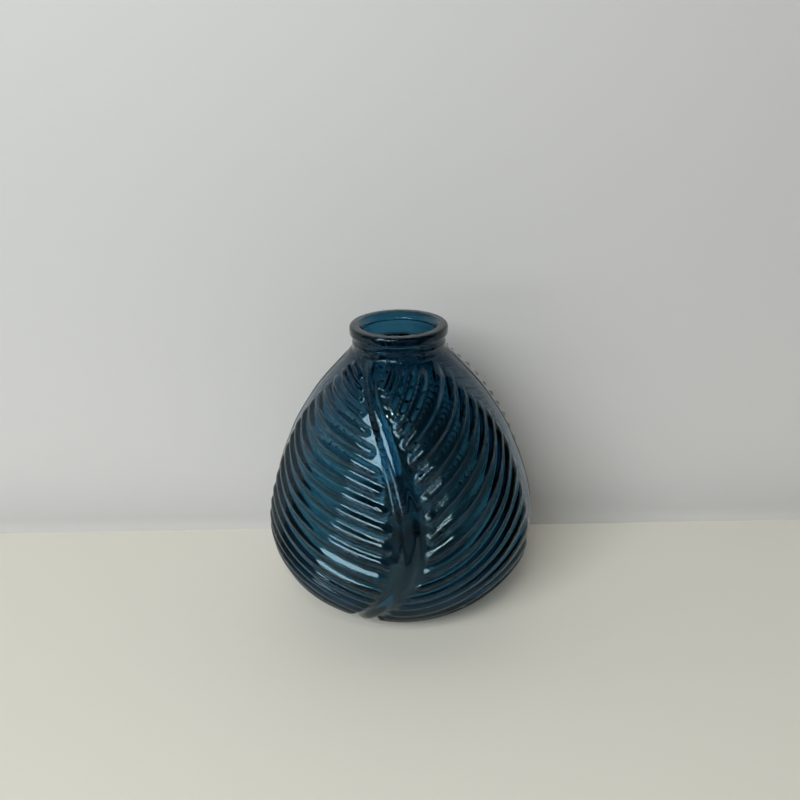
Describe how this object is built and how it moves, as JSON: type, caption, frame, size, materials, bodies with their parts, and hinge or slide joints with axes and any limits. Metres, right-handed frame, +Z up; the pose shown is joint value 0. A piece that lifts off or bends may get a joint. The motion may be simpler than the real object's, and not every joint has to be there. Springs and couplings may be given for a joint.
{
  "type": "glass bud vase",
  "caption": "Squat egg-shaped glass bud vase with a short beaded neck, a raised leaf with a curved midrib front and back, plain side bands and a hollowed base.",
  "frame": {"origin": "on the table under the middle of the base", "axes": "+Z up along the vase's axis, -Y towards the front leaf, +X towards the right-hand plain band"},
  "size_m": [0.1156, 0.1182, 0.121],
  "materials": {
    "blue_glass": "clear petrol-blue moulded glass, fire polished"
  },
  "bodies": {
    "root": {"mouth_bead": "blue_glass", "neck": "blue_glass", "shoulder": "blue_glass", "upper_wall": "blue_glass", "lower_wall": "blue_glass", "heel_ring": "blue_glass", "punt_floor": "blue_glass", "front_midrib": "blue_glass", "front_right_veins": "blue_glass", "front_left_veins": "blue_glass", "back_midrib": "blue_glass", "back_right_veins": "blue_glass", "back_left_veins": "blue_glass", "right_seam": "blue_glass", "left_seam": "blue_glass"}
  },
  "joints": []
}
